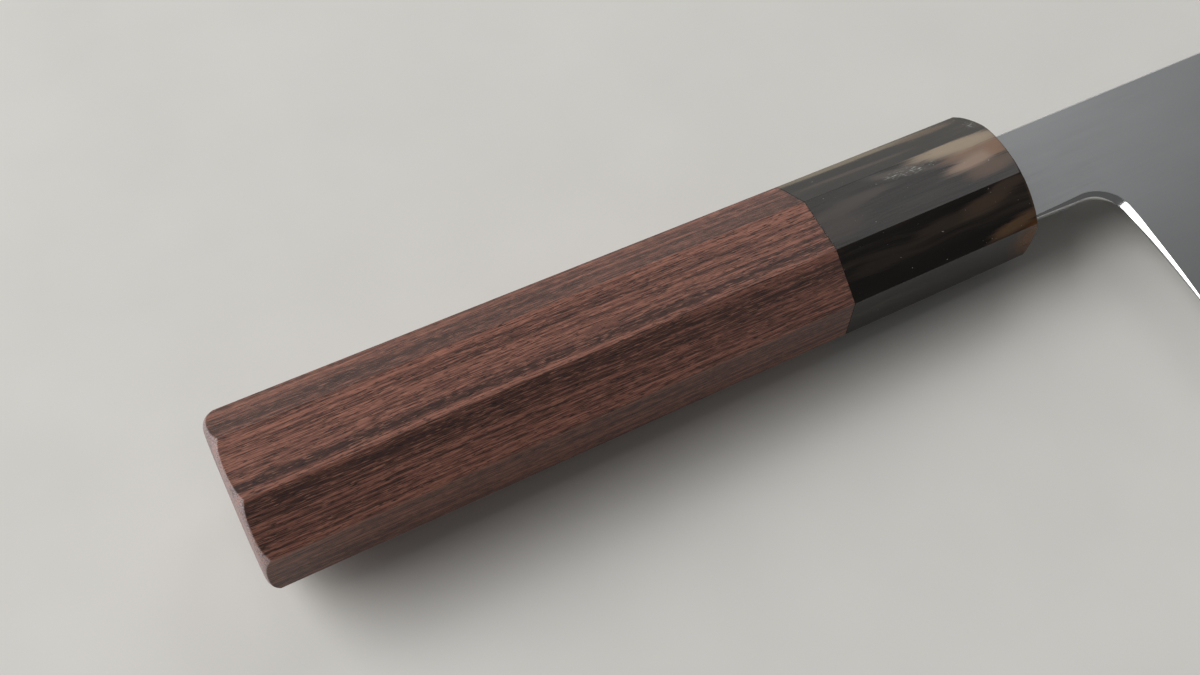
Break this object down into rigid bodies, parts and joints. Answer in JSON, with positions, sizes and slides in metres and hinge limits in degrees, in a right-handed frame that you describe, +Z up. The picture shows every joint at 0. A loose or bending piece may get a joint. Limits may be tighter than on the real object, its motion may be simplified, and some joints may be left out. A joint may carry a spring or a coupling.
{
  "type": "kiritsuke knife",
  "caption": "Long kitchen knife with an angled clipped tip, thin convex-ground steel blade, polished horn ferrule and octagonal rosewood handle, lying on its side.",
  "frame": {"origin": "on the table, under the middle of the knife's bounding box, with the knife lying on its side at rest", "axes": "+X from the butt of the handle towards the tip, in plan along the handle's axis; -Y is the side of the cutting edge and +Y the side of the back; +Z up off the table. The handle's axis dips 2.23 degrees towards the tip, because the knife rests on the front rim of its ferrule and on its tip"},
  "size_m": [0.3984, 0.0548, 0.0268],
  "materials": {
    "blade_steel": "satin, with polished heel and back edges",
    "horn": "polished marbled buffalo horn",
    "rosewood": "fine sanded and oiled",
    "dowel_wood": "planed",
    "set_resin": "set epoxy"
  },
  "bodies": {
    "root": {"blade": "blade_steel", "ferrule": "horn", "handle_body": "rosewood", "dowel": "dowel_wood", "tang_bond": "set_resin"}
  },
  "joints": []
}
